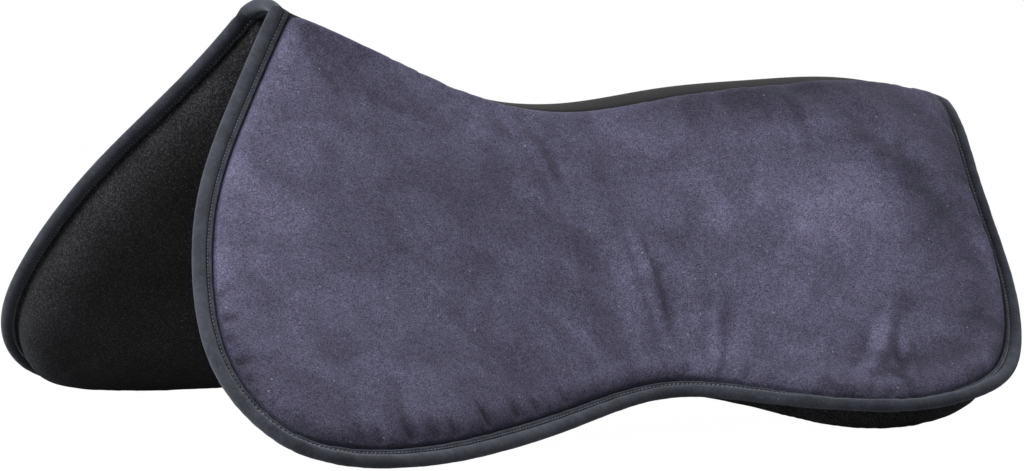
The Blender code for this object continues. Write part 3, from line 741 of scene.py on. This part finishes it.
def puckers(reach, place, seed):
    """Depth of the gathers at a seam: the hollows of two uneven ripples along it, small
    close ones that are gone 15 mm inside the seam and wider ones that reach 35 mm in."""
    strength = 0.55 + 0.50 * np.clip(ripples(place, seed + 50, 12, 0.10, 0.40), -0.8, 1.2)
    small = np.clip(ripples(place, seed, 50, 0.006, 0.014) - 0.1, 0, 1.6)
    large = np.clip(ripples(place, seed + 25, 40, 0.015, 0.045) - 0.3, 0, 1.6)
    inside = np.maximum(reach, 0)
    rise = np.minimum(inside / 0.003, 1)
    return strength * rise * (0.0011 * small * np.exp(-inside / 0.006)
                              + 0.0016 * large * np.exp(-inside / 0.013))


def gathers(net, name):
    """Depth of the pleats drawn in by the edge seam. Each is a bell curve along the rim and
    (t * exp(1 - t))^2 inwards, t the distance from the rim over that of its deepest spot."""
    total = np.zeros(len(net.flat))
    for at, width, depth, deepest in np.array(GATHERS[name]) / 1000:
        inward = np.maximum(net.reach, 0) / deepest
        drawn = depth * np.exp(-((net.place - at) / width) ** 2)
        total += drawn * (inward * np.exp(1 - inward)) ** 2
    return total


def nap_and_shade_marks(flat, name):
    """Tone of the strokes of the nap's own zones and of painted shade, their edges uneven: the
    flat spots are first moved about by up to a few millimetres with two ripples."""
    frayed = flat + 0.0035 * np.stack([ripples(flat[:, 1], 5, 30, 0.012, 0.060),
                                       ripples(flat[:, 0], 6, 30, 0.012, 0.060)], axis=-1)
    return sum(fold(frayed, *stroke, 0.0) for stroke in NAP_AND_SHADE_STROKES[name])


net = flat_panel(COVER_STEP)
suede = suede_material()
for name, side in SIDES:
    thick = pressed(net.reach, COVER_THICK)
    puff = cover_puff(net)
    height = LAYER_GAP + thick + puff
    shift = swollen(net, height, side, COVER_SPARE, 41 + side, COVER_COARSE)
    relief = full_seam(net.flat) + 0.001 * sum(fold(net.flat, *one) for one in FOLDS[name])
    relief = relief - puckers(net.reach, net.place, 61 + side)
    relief = relief - SEAM_PUCKERS * puckers(1.3 * net.below, net.flat[:, 0], 81 + side)
    drawn = gathers(net, name)
    relief = relief * np.clip(net.reach / 0.004, 0, 1) - drawn
    height = height + np.maximum(relief, -0.7 * puff)
    cover = shell_of(name + "_cover", net, height, thick, side, suede, shift)
    # Painted shade in the groove beside the tape, gone 0.9 mm inside the rim.
    marked(cover, "groove", np.tile(np.clip(1.0 - net.reach / 0.0009, 0, 1), 2))
    # Painted shade on the rounding along the lower edge, fading out about 7 mm inside the rim.
    shade = np.interp(net.place, SHADE_PLACE, SHADE) * np.exp(-(net.reach / 0.007) ** 2)
    tone = nap_and_shade_marks(net.flat, name) + PLEAT_PAINTED_SHADE * drawn + SHADE_TONE * shade
    marked(cover, "nap_and_painted_light", np.tile(tone, 2))
    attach(cover, name + "_panel")
    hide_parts(name + "_top_cover")


# Spine strip and its lining. A woven band, about 7 cm wide with its laps, runs over the
# spine and leaves an air channel. It is sewn down on both panels and lined with jersey.
# Each is made as two halves that meet in the middle, one towards each panel.

STRIP_THICK = 0.0015
STRIP_TUCK = 0.004              # turn-in between the panel's layers
STRIP_END = 0.0106              # distance of its cut end from the bound edge
RISE_X = (-0.22, -0.207, -0.190, -0.15, -0.10, -0.05, 0.0, 0.05, 0.33)
RISE_Z = (0.0070, 0.0045, 0.0016, 0.0004, 0.0006, 0.0024, 0.0044, 0.0050, 0.0045)   # of the arch
END_HOLLOW = 0.0020             # how far the bound ends are drawn in at the middle
MITRE = (1 / INWARD[0, 0], -1 / INWARD[-1, 0])   # widening of the tape on a slant, by end
STRIP_COLOR = (0.0064, 0.0063, 0.0075)
STRIP_PITCH = 0.0012            # from thread to thread


def arch_at(station, share):
    """Points and unit normals of the strip's right half at its stations: a circular arc from
    the middle, share 0, to the seam, share 1."""
    rise = smooth_curve(RISE_X, RISE_Z, station)
    half_angle = 2 * np.arctan(rise / STRIP_HALF)
    radius = STRIP_HALF / np.sin(half_angle)
    turn = share * half_angle
    height = seam_height(station) + radius * (np.cos(turn) - np.cos(half_angle))
    points = np.stack([station, radius * np.sin(turn), height], axis=-1)
    tilt = (seam_height(station + 1e-4) - seam_height(station - 1e-4)) / 2e-4
    normals = np.stack([-tilt * np.cos(turn), np.sin(turn), np.cos(turn)], axis=-1)
    return points, normals / np.linalg.norm(normals, axis=-1, keepdims=True)


def seam_mitre(station):
    """Offset direction at a seam, half way between the strip's and the panel's normals."""
    strip = arch_at(station, np.ones_like(station))[1]
    panel = drape_at(np.stack([station, np.zeros_like(station)], axis=-1))[1]
    return (strip + panel) / (1 + np.sum(strip * panel, axis=-1, keepdims=True))


def end_station(end, across, distance):
    """Stations a distance inside the strip's bound end, which is a little hollow and widens
    towards the seams, where the tape comes in on a slant."""
    place = 0 if end < 0 else -1
    widen = 1 + (MITRE[place] - 1) * across**2
    return EDGE[place, 0] - end * (END_HOLLOW * (1 - across**2) + widen * distance)


def plate(low, high):
    """Closed plate between two grids of points, walled along its border."""
    size = low[..., 0].size
    index = np.arange(size).reshape(low.shape[:2])
    corners = index[:-1, :-1], index[1:, :-1], index[1:, 1:], index[:-1, 1:]
    quads = np.stack(corners, axis=-1).reshape(-1, 4)
    rim = np.concatenate([index[0], index[1:, -1], index[-1, -2::-1], index[-2:0:-1, 0]])
    after = np.roll(rim, -1)
    walls = np.stack([rim, after, after + size, rim + size], axis=-1)
    return (np.concatenate([low.reshape(-1, 3), high.reshape(-1, 3)]),
            np.concatenate([quads, quads[:, ::-1] + size, walls]))


def mesh_uv(piece, across, along):
    """UV map in metres from a value for each vertex: across the fabric and along it."""
    mesh = piece.data
    corner = np.empty(len(mesh.loops), int)
    mesh.loops.foreach_get("vertex_index", corner)
    uv = np.stack([across[corner], along[corner]], axis=-1).astype(np.float32)
    mesh.uv_layers.new(name="fabric").uv.foreach_set("vector", uv.ravel())


def strip_half(name, sign, side, material):
    """Half of the strip, sign 1, or of its lining, sign -1: rows along the spine, columns
    from the middle over the arc to the seam, where it turns in between the panel's layers
    and thins out."""
    stations = np.linspace(0, 1, 260)
    share = np.linspace(0, 1, 17)
    tuck = np.linspace(0, 1, 5)[1:] * STRIP_TUCK
    first, last = (end_station(end, share, STRIP_END) for end in (-1, 1))
    x = first[None] + (last - first)[None] * stations[:, None]
    spots, normals = arch_at(x, share)
    normals[:, -1] = seam_mitre(x[:, -1])
    flat = np.stack(np.broadcast_arrays(x[:, -1:], tuck), axis=-1)
    spots, normals = (np.concatenate(pair, axis=1)
                      for pair in zip((spots, normals), drape_at(flat)))
    turn_in = np.clip((share - 0.84) / 0.16, 0, 1) ** 2
    outer = np.concatenate([LAYER_GAP + STRIP_THICK - 0.0008 * turn_in,
                            np.interp(tuck, (0, 0.0012), (0.0009, 0.00035))])
    inner = np.concatenate([np.full(len(share), 0.0001), np.full(len(tuck), 0.00005)])
    low, high = (lifted(spots, normals, sign * height, side) for height in (inner, outer))
    points, faces = plate(low, high)
    piece = new_piece(name, points, faces if sign * side > 0 else faces[:, ::-1], material)
    across = np.concatenate([share * STRIP_HALF, STRIP_HALF + tuck])
    across, along = np.broadcast_arrays(across, x[:, -1:])
    mesh_uv(piece, np.tile(across.ravel(), 2), np.tile(along.ravel(), 2))
    return piece


def strip_material():
    """Plain weave: two sets of threads at right angles that pass over and under each other,
    as a sine across times a sine along, with painted light on the raised ones, and uneven yarn."""
    weave = Fabric("spine_fabric", 0.88, sheen=0.05, sheen_roughness=0.4)
    split = weave.node("SeparateXYZ", {0: weave.node("UVMap", uv_map="fabric")}).node.outputs
    waves = [weave.math("SINE", weave.math("MULTIPLY", split[axis], math.pi / STRIP_PITCH))
             for axis in (0, 1)]
    over = weave.ramp(weave.math("MULTIPLY", *waves), -0.8, 0.8)
    wear = weave.cloud(45.0, 3.0, 0.6)
    fuzz = weave.cloud(700.0, 3.0, 0.7)
    tone = weave.mixed(over, scaled(STRIP_COLOR, 0.8), scaled(STRIP_COLOR, 1.25))
    tone = weave.mixed(weave.ramp(wear, 0.35, 0.7, 0.0, 0.35), tone, scaled(STRIP_COLOR, 1.625))
    return weave.done(weave.times(tone, fuzz, 0.3, 0.7, 0.8, 1.2), (over, 0.5, 0.0003),
                      (fuzz, 0.4, 0.0003))


weave = strip_material()
for name, side in SIDES:
    for part, sign, material, slot, node in (
            ("_spine_strip", 1, weave, "spine_fabric", "spine_strip"),
            ("_spine_lining", -1, jersey, "jersey", "spine_lining")):
        half = strip_half(name + part, sign, side, material)
        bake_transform(half)
        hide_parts(node)


# Binding tape. One soft tape is folded round the raw edge of all layers and rolled full,
# and a single row of stitches goes through both of its flat legs. It is eased round the
# curves, so it puckers a little there. It is cut here where it passes from strip to panel.

TAPE_THICK = 0.0012
TAPE_WIDTH = 0.0118             # from the rolled edge to the edges of the legs
TAPE_ROLL = 0.0042              # radius of the rolled edge
TAPE_LEG = 0.0011               # height of the legs' insides
TAPE_NARROW = 0.41              # share by which the underside's leg is narrower
TAPE_COLOR = (0.034, 0.036, 0.048)
PINCH = {"left": 0.06, "right": 0.36}   # share by which it is pinched beside the pommel


def tape_section():
    """Closed section of the tape, round from its upper edge over the roll to its lower
    edge and back inside: distance from the rolled edge, height over the seam surface, and
    distance along the fabric."""
    neck = math.asin(0.0012 / TAPE_ROLL)
    turns = np.linspace(neck, 2 * math.pi - neck, 34)
    roll = [(TAPE_ROLL * (1 + math.cos(a)), TAPE_ROLL * math.sin(a)) for a in turns]
    bore = TAPE_ROLL - TAPE_THICK
    throat = math.asin(TAPE_LEG / bore)
    back = np.linspace(2 * math.pi - throat, throat, 12)
    hollow = [(TAPE_ROLL + bore * math.cos(a), bore * math.sin(a)) for a in back]
    upper = [(TAPE_WIDTH - a, b) for a, b in (
        (0.0, 0.0013), (0.0001, 0.0019), (0.0005, 0.0023), (0.0011, 0.0024),
        (0.0017, 0.0021), (0.0022, 0.0016), (0.0027, 0.0014))]
    lower = [(a, -b) for a, b in upper[::-1]] + [(TAPE_WIDTH - 0.0002, -TAPE_LEG)]
    section = np.array(upper + roll + lower + hollow + [(TAPE_WIDTH - 0.0002, TAPE_LEG)])
    return section, lengths(section)


SECTION, SECTION_AT = tape_section()


def tube_faces(rows, columns):
    """Quads of a closed section carried along a path, with both ends filled by one face."""
    k = np.arange(rows - 1)[:, None] * columns
    j = np.arange(columns)[None]
    n = (j + 1) % columns
    quads = np.stack([k + j, k + n, k + columns + n, k + columns + j], axis=-1)
    ends = [list(range(columns))[::-1], list(range((rows - 1) * columns, rows * columns))]
    return quads.reshape(-1, 4).tolist() + ends


def edge_path():
    """Places along the panel's edge and the direction in which the tape lies on it: square
    to the edge, but along the spine seam at both ends."""
    line = even_steps(EDGE, 0.0022)
    at = lengths(line)
    square = read_along(at, lengths(EDGE), INWARD)
    for end, mitre in ((at, MITRE[0]), (at[-1] - at, -MITRE[1])):
        share = np.clip(end / 0.009, 0, 1)[:, None]
        share = share**2 * (3 - 2 * share)
        square = square * share + np.array([mitre, 0.0]) * (1 - share)
    return line, square, at


def narrowed(across, height):
    """Distance from the rolled edge, for each place along the panel's tape, with the
    underside's leg drawn in from 20 mm past the tape's ends on."""
    end = np.minimum(edge_at, edge_at[-1] - edge_at)[:, None]
    less = TAPE_NARROW * np.clip(end / 0.020, 0, 1) * (height < 0)
    return across - less * np.maximum(across - 2 * TAPE_ROLL, 0)


def tape_material():
    """Soft tape with a raised pile: slanting fine ribs, lint and faint wear on the roll, and
    painted shade where the vertices mark it.
    """
    tape = Fabric("binding_tape", 0.90, sheen=0.30, sheen_roughness=0.5,
                  sheen_tint=(0.80, 0.88, 1.0))
    turned = tape.node("Mapping", {"Vector": tape.node("UVMap", uv_map="fabric"),
                                   "Rotation": (0, 0, math.radians(45))})
    ribs = tape.node("TexWave", {"Vector": turned, "Scale": 330.0, "Distortion": 1.5,
                                 "Detail": 2.0, "Detail Scale": 2.0}, "Fac")
    fuzz = tape.cloud(480.0, 5.0, 0.75)
    patches = tape.cloud(60.0, 3.0, 0.6)
    tone = tape.mottled(TAPE_COLOR, 0.70, 1.35, patches, 0.32, 0.70)
    tone = tape.times(tone, fuzz, 0.28, 0.72, 0.72, 1.30)
    lint = tape.ramp(tape.cloud(900.0, 1.0, 0.5), 0.735, 0.80)
    tone = tape.with_painted_shade(tape.mixed(lint, tone, (0.20, 0.21, 0.24)), (0.30, 0.33, 0.42))
    return tape.done(tone, (patches, 0.2, 0.0010), (ribs, 0.25, 0.0002), (fuzz, 0.5, 0.0004))


def pinched(at, pinch, width):
    """The pinch beside the pommel: a bell curve along the tape, 6 mm from its start."""
    return pinch * np.exp(-((at - 0.006) / width) ** 2)


def leg_shade(at, pinch):
    """Painted shade in the crease between the roll and the stitched leg, spread wider on the
    underside, under the leg's edge, and in the pinch."""
    across, height = SECTION.T
    from_neck = across - 2 * TAPE_ROLL - 0.0002
    spread = np.where(height > 0, 0.0016, 0.0034)
    smear = np.where(height > 0, 0.45, 0.95) * np.exp(-(np.minimum(from_neck, 0) / spread) ** 2)
    smear = smear * np.exp(-(np.maximum(from_neck, 0) / 0.0006) ** 2)
    neck = np.where(height > 0, 0.6, 1.3) * np.exp(-(from_neck / 0.0006) ** 2)
    lip = np.clip(1.0 - (TAPE_WIDTH - across) / 0.0002, 0, 1)
    shade = (smear + neck + lip) + 2.4 * pinched(at, pinch, 0.0026)[:, None]
    return np.clip(shade, 0.0, 1.0).ravel()


def eased(at, seed, pinch):
    """Heights of the tape's section along its path: uneven ripples lift the legs by a few
    tenths of a millimetre and the roll by less, and it is pinched beside the pommel."""
    leg = np.clip((SECTION[:, 0] - 0.006) / 0.003, 0, 1)[None]
    ripple = ripples(at, seed, 50, 0.005, 0.035)[:, None]
    slow = ripples(at, seed + 100, 20, 0.020, 0.120)[:, None]
    lift = 1 + ripple * (0.025 + 0.045 * leg) + 0.030 * slow
    return SECTION[None, :, 1] * lift * (1 - pinched(at, pinch, 0.003))[:, None]


def tape_piece(name, points, at, onward, material, pinch=0.0):
    """Tape from sections of points at places along it, smooth but for its cut ends. The
    faces are turned over where the sections don't run onward. Towards the cantle it is
    darker by painted shade."""
    faces = tube_faces(len(at), len(SECTION))
    piece = new_piece(name, points, faces if onward else [face[::-1] for face in faces], material)
    piece.data.set_sharp_from_angle(angle=math.radians(50))
    mesh_uv(piece, np.tile(SECTION_AT, len(at)), np.repeat(at, len(SECTION)))
    # Painted shade: the tape darkens towards the cantle, on top of the shade in its crease.
    darker = np.interp(np.reshape(points, (-1, 3))[:, 0], (0.04, 0.20), (0, 0.34))
    marked(piece, "groove", np.minimum(leg_shade(at, pinch) + darker, 1))
    return piece


edge_line, edge_in, edge_at = edge_path()
tape = tape_material()
for name, side in SIDES:
    inset = 0.0012 * pinched(edge_at, PINCH[name], 0.003)[:, None]
    inset = inset * np.clip(1 - SECTION[:, 0] / (2 * TAPE_ROLL), 0, 1)
    flat = edge_line[:, None] + (narrowed(*SECTION.T) + inset)[..., None] * edge_in[:, None]
    spots, normals = drape_at(flat)
    for end in (0, -1):
        normals[end] = seam_mitre(flat[end, :, 0])
    points = lifted(spots, normals, eased(edge_at, 11 + side, PINCH[name]), side)
    binding = tape_piece(name + "_binding", points, edge_at, side > 0, tape, PINCH[name])
    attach(binding, name + "_panel")
    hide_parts(name + "_edge_binding")

    for part, end, node in (("_pommel_binding", -1, "pommel_binding"),
                            ("_cantle_binding", 1, "cantle_binding")):
        share = np.linspace(0, 1, 16)
        x = end_station(end, share[:, None], SECTION[None, :, 0])
        spots, normals = arch_at(x, share[:, None])
        normals[-1] = seam_mitre(x[-1])
        points = lifted(spots, normals, SECTION[:, 1], side)
        half = tape_piece(name + part, points, share * STRIP_HALF, side * end > 0, tape)
        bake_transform(half)
        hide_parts(node)


# Stitching. A light grey twisted thread runs once round the whole pad, close to the inner
# edge of the tape's legs. On both faces it shows as short stitches that dip into the
# fabric at their ends.

STITCH_PITCH = 0.0031           # from stitch to stitch
STITCH_LENGTH = 0.0020
STITCH_DEPTH = TAPE_WIDTH - 0.0026   # of the row from the tape's rolled edge
STITCH_HEIGHT = 0.0016          # of the row over the seam surface, or under it
THREAD_RADIUS = 0.00046
THREAD_COLOR = (0.170, 0.178, 0.200)


def thread_material():
    """Matt twisted thread, a little soiled in places."""
    thread = Fabric("thread", 0.75, sheen=0.2)
    tone = thread.mottled(THREAD_COLOR, 0.65, 1.25, thread.cloud(90.0), 0.3, 0.7)
    return thread.done(tone, (thread.cloud(1500.0, 2.0, 0.6), 0.5, 0.0002))


def stitch_row(name, spots, normals, height, side, seed, material):
    """Stitches along a path of spots on a surface, lifted to a height: a small arch of
    thread, repeated. The arch is a parabola, its section a hexagon that narrows towards
    its ends."""
    path = lifted(spots, normals, height, side)
    normal = np.sign(height) * normals * np.array([1.0, side, 1.0])
    draw = np.random.default_rng(seed + side)
    length = np.concatenate([[0.0], np.cumsum(np.linalg.norm(np.diff(path, axis=0), axis=1))])
    count = int(length[-1] / STITCH_PITCH)
    at = (np.arange(count) + 0.5) * length[-1] / count
    spot = read_along(at, length, path)
    up = read_along(at, length, normal)
    up /= np.linalg.norm(up, axis=1, keepdims=True)
    ahead = read_along(at + 0.0008, length, path) - read_along(at - 0.0008, length, path)
    ahead -= np.sum(ahead * up, axis=1, keepdims=True) * up
    ahead /= np.linalg.norm(ahead, axis=1, keepdims=True)
    turn = draw.normal(0.0, 0.07, count)[:, None]
    across = np.cross(up, ahead)
    ahead, across = (ahead * np.cos(turn) + across * np.sin(turn),
                     across * np.cos(turn) - ahead * np.sin(turn))
    u = np.linspace(-1, 1, 6)
    ring = np.linspace(0, 2 * math.pi, 6, endpoint=False)
    thick = THREAD_RADIUS * np.sqrt(np.clip(1 - 0.75 * u**2, 0.05, 1))
    a = np.broadcast_to((u * STITCH_LENGTH / 2)[:, None], (len(u), len(ring)))
    b = thick[:, None] * np.cos(ring)
    c = thick[:, None] * np.sin(ring) + (0.00028 - 0.0006 * u**2)[:, None]
    size = draw.normal(1.0, 0.06, count)[:, None, None, None]
    ahead, across, up = (way[:, None, None] for way in (ahead, across, up))
    shape = size * (a[None, ..., None] * ahead + b[None, ..., None] * across)
    points = spot[:, None, None] + shape + c[None, ..., None] * up
    *one, first, last = tube_faces(len(u), len(ring))
    start = np.arange(count)[:, None] * len(u) * len(ring)
    faces = (np.array(one) + start[..., None]).reshape(-1, 4).tolist()
    ends = np.concatenate([np.array(first) + start, np.array(last) + start]).tolist()
    return new_piece(name, points, faces + ends, material)


thread = thread_material()
for name, side in SIDES:
    for face, height in (("upper", STITCH_HEIGHT), ("lower", -STITCH_HEIGHT)):
        spots, normals = drape_at(edge_line + narrowed(STITCH_DEPTH, height) * edge_in)
        row = stitch_row(f"{name}_binding_stitches_{face}", spots, normals, height, side, 21,
                         thread)
        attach(row, name + "_panel")
    for part, end in (("_pommel_stitches", -1), ("_cantle_stitches", 1)):
        share = np.linspace(0, 1, 12)
        spots, normals = arch_at(end_station(end, share, STITCH_DEPTH), share)
        row = stitch_row(name + part, spots, normals, STITCH_HEIGHT, side, 31, thread)
        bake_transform(row)


# Floor, light and camera. A white floor keeps the pad's faint shadow; the light is soft and
# comes mostly from above and in front of the pommel. The camera looks at the left side.

def show(tree, output, share, lit, seen):
    """Surface of a tree: one shader towards the pad, mixed by a share with the one that
    the camera sees."""
    mix = add_node(tree, "MixShader", {0: share, 1: lit, 2: seen})
    tree.links.new(mix, tree.nodes.new(output).inputs["Surface"])


ground = bpy.data.materials.new("floor")
ground.use_nodes = True
tree = ground.node_tree
tree.nodes.clear()
camera_ray = add_node(tree, "LightPath", out="Is Camera Ray")
show(tree, "ShaderNodeOutputMaterial",
     add_node(tree, "Math", {0: camera_ray, 1: 0.92}, operation="MULTIPLY"),
     add_node(tree, "BsdfDiffuse", {"Color": (0.38, 0.38, 0.38, 1)}),
     add_node(tree, "Emission", {"Strength": 1.08}))
floor_mesh = bpy.data.meshes.new("floor")
floor_mesh.from_pydata([(x, y, -0.0003) for x, y in ((-30, -30), (30, -30), (30, 30), (-30, 30))],
                       [], [(0, 1, 2, 3)])
floor_mesh.materials.append(ground)
floor = new_object("floor", floor_mesh)

world = bpy.data.worlds.new("studio")
bpy.context.scene.world = world
world.use_nodes = True
tree = world.node_tree
tree.nodes.clear()
rays = add_node(tree, "LightPath").node.outputs
seen = rays["Is Camera Ray"]
for other in ("Is Glossy Ray", "Is Transmission Ray"):
    seen = add_node(tree, "Math", {0: seen, 1: rays[other]}, operation="MAXIMUM")
show(tree, "ShaderNodeOutputWorld", seen,
     add_node(tree, "Background", {"Color": (1, 1, 1, 1), "Strength": 0.085}),
     add_node(tree, "Background", {"Color": (1, 1, 1, 1)}))


def aim(made, spot, ahead):
    """Puts a lamp or camera at a spot and turns it to look ahead."""
    made.location = spot
    made.rotation_euler = ahead.to_track_quat("-Z", "Y").to_euler()


def soft_light(name, spot, target, size, power):
    """Square lamp at a spot, turned to a target."""
    lamp = bpy.data.lights.new(name, "AREA")
    lamp.size = size
    lamp.energy = power
    aim(new_object(name, lamp), Vector(spot), Vector(target) - Vector(spot))


soft_light("light_left", (-1.9, -0.6, 1.6), (0, 0, 0.12), 1.8, 67.0)
soft_light("light_above", (0.2, -0.5, 2.3), (0, 0, 0.1), 1.4, 11.0)
soft_light("light_right", (2.2, -0.6, 1.1), (0, 0, 0.12), 0.9, 7.0)

CAMERA_AZIMUTH = -26.0        # degrees from a view square on the left side
CAMERA_HEIGHT = 3.16          # degrees above the level
CAMERA_DISTANCE = 2.187
CAMERA_TARGET = (-0.021, 0.0, 0.128)
camera_data = bpy.data.cameras.new("camera")
camera_data.lens = 107.4
camera_data.sensor_width = 36.0
camera_data.clip_start = 0.05
camera = new_object("camera", camera_data)
turn = math.radians(CAMERA_AZIMUTH)
lift = math.radians(CAMERA_HEIGHT)
back = Vector((math.sin(turn) * math.cos(lift), -math.cos(turn) * math.cos(lift), math.sin(lift)))
aim(camera, Vector(CAMERA_TARGET) + back * CAMERA_DISTANCE, -back)
bpy.context.scene.camera = camera
bpy.context.scene.view_settings.view_transform = "Standard"
